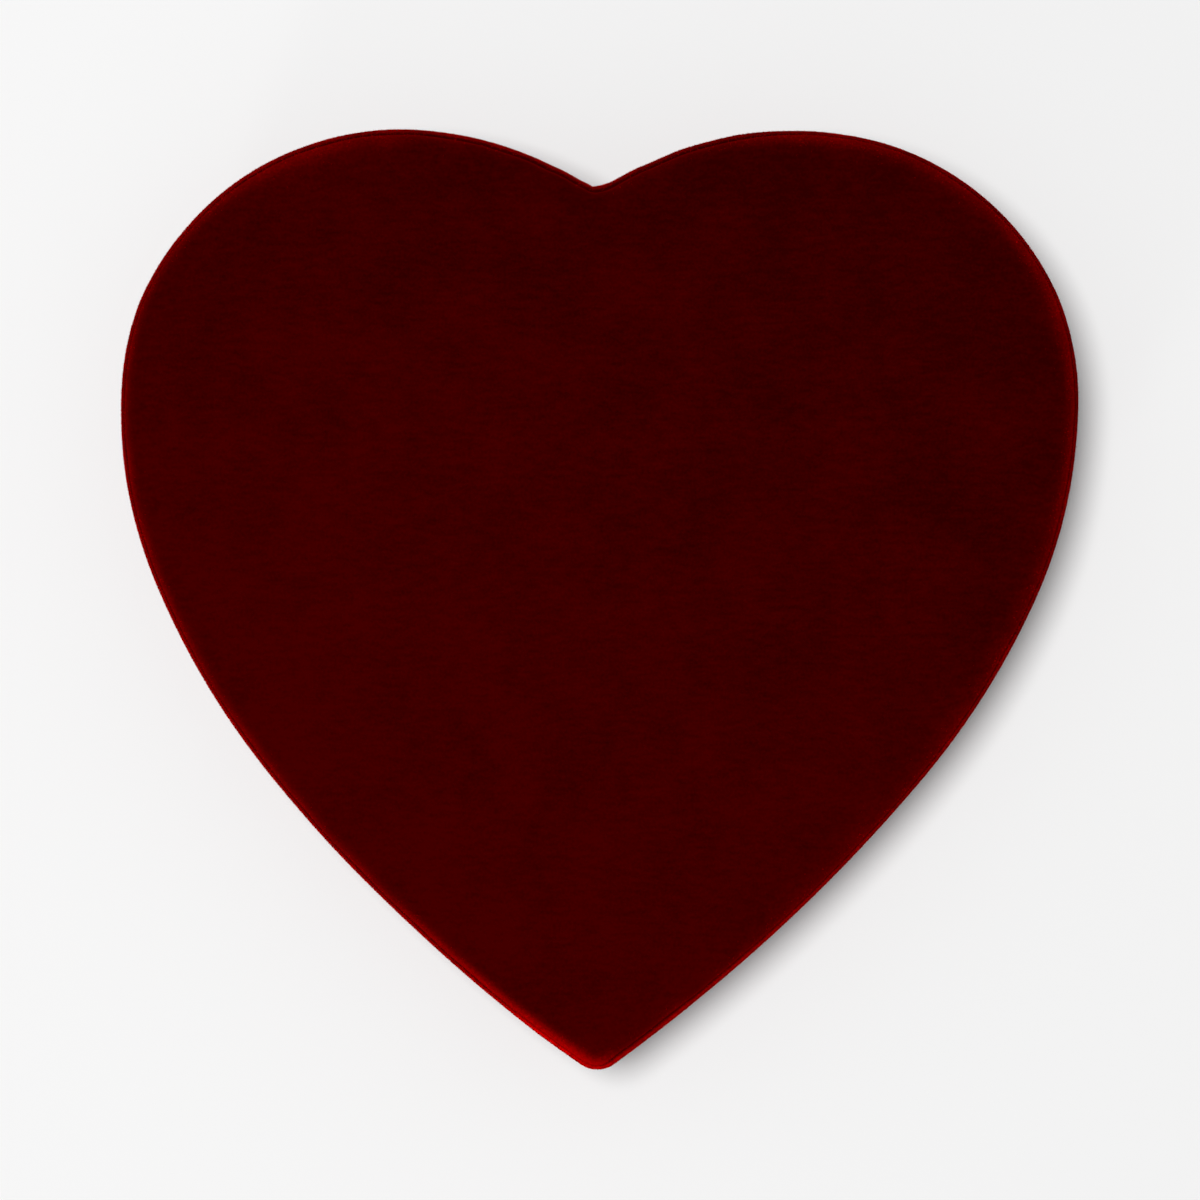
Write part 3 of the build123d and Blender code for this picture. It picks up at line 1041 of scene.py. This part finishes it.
# The floor, the light and the camera
def area_light(name, place, size, power):
    """Soft round light aimed at the middle of the box."""
    data = bpy.data.lights.new(name, "AREA")
    data.shape, data.size, data.energy = "DISK", size, power
    lamp = bpy.data.objects.new(name, data)
    lamp.location = place
    lamp.rotation_euler = (-Vector(place)).to_track_quat("-Z", "Y").to_euler()
    bpy.context.scene.collection.objects.link(lamp)


panel_rise = panel_swell()
panel = panel_cover(panel_rise)
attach(panel, "lid")
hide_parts("panel_velvet")

filling = panel_filling(panel_rise)
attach(filling, "lid")
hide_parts("panel_foam")

panel_stiffener = panel_card()
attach(panel_stiffener, "lid")
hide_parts("panel_board")

band = lid_band()
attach(band, "lid")
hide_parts("lid_wall_velvet")

panel_pile = velvet_pile("panel_velvet_pile", panel, per_square_mm=4, length=0.4, lean=0.6)
band_pile = velvet_pile("lid_band_pile", band, per_square_mm=42, length=0.3, lean=1.0)
for pile in (panel_pile, band_pile):
    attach(pile, "lid")

lid_wall_low = level("lid_wall_board", 0)
lid_wall = wall(
    "lid_wall_card", lid_wall_outer, lid_wall_inner, lid_wall_low, lid_top_level, lid_heart
)
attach(lid_wall, "lid")
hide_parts("lid_wall_board")

base_wall = wall("base_wall_card", base_wall_outer, base_wall_inner, base_wall_low, base_wall_top)
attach(base_wall, "base")
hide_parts("base_wall_board")

wrap = base_wrap()
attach(wrap, "base")
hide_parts("base_wall_wrap")

tray = formed_tray()
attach(tray, "tray")
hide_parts("candy_tray")

pad_rise = cushion_swell()
pad = pad_cover(pad_rise)
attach(pad, "pad")
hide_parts("pad_top_sheet")

pad_inside = pad_filling(pad_rise)
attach(pad_inside, "pad")
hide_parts("pad_wadding")

finishes = {
    "lid_top_board": card,
    "lid_cleft_stay": stay_paper,
    "lid_top_lining": lining_paper,
    "pad_bottom_sheet": pad_paper,
    "base_bottom_board": card,
    "base_cleft_stay": stay_paper,
    "base_bottom_sheet": wrap_paper,
}
for name, material in finishes.items():
    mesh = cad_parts[name].data
    mesh.materials.clear()
    mesh.materials.append(material)

floor_mesh = bpy.data.meshes.new("floor")
floor_reach = 6
corners = ((-1, -1), (1, -1), (1, 1), (-1, 1))
floor_corners = [(x * floor_reach, y * floor_reach, 0) for x, y in corners]
floor_mesh.from_pydata(floor_corners, [], [(0, 1, 2, 3)])
floor = bpy.data.objects.new("floor", floor_mesh)
bpy.context.scene.collection.objects.link(floor)
floor_paint, _, floor_shader, _ = blank("studio_floor_white")
floor_shader.inputs["Base Color"].default_value = srgb("#f2f2f2")
floor_shader.inputs["Roughness"].default_value = 1.0
floor_shader.inputs["Specular IOR Level"].default_value = 0.0
floor_mesh.materials.append(floor_paint)

area_light("key_light", place=(-0.47, 0.2, 3.0), size=1.1, power=78)
area_light("low_left_light", place=(-1.4, -2.7, 0.27), size=0.5, power=25)
scene = bpy.context.scene
world = bpy.data.worlds.new("studio")
world.use_nodes = True
world.node_tree.nodes["Background"].inputs["Color"].default_value = (1, 1, 1, 1)
world.node_tree.nodes["Background"].inputs["Strength"].default_value = 0.2
scene.world = world
scene.view_settings.view_transform = "Standard"

# The photograph is taken from straight above, and the heart fills most of its width
photo_pixels = 1200
heart_pixels = 956
view_width = heart_width * photo_pixels / heart_pixels
camera_data = bpy.data.cameras.new("camera")
camera_data.lens = 120
camera_data.sensor_width = 36
camera = bpy.data.objects.new("camera", camera_data)
camera_height = lip_level - lip_round + view_width * camera_data.lens / camera_data.sensor_width
camera.location = (0, 0, camera_height * MM)
scene.collection.objects.link(camera)
scene.camera = camera
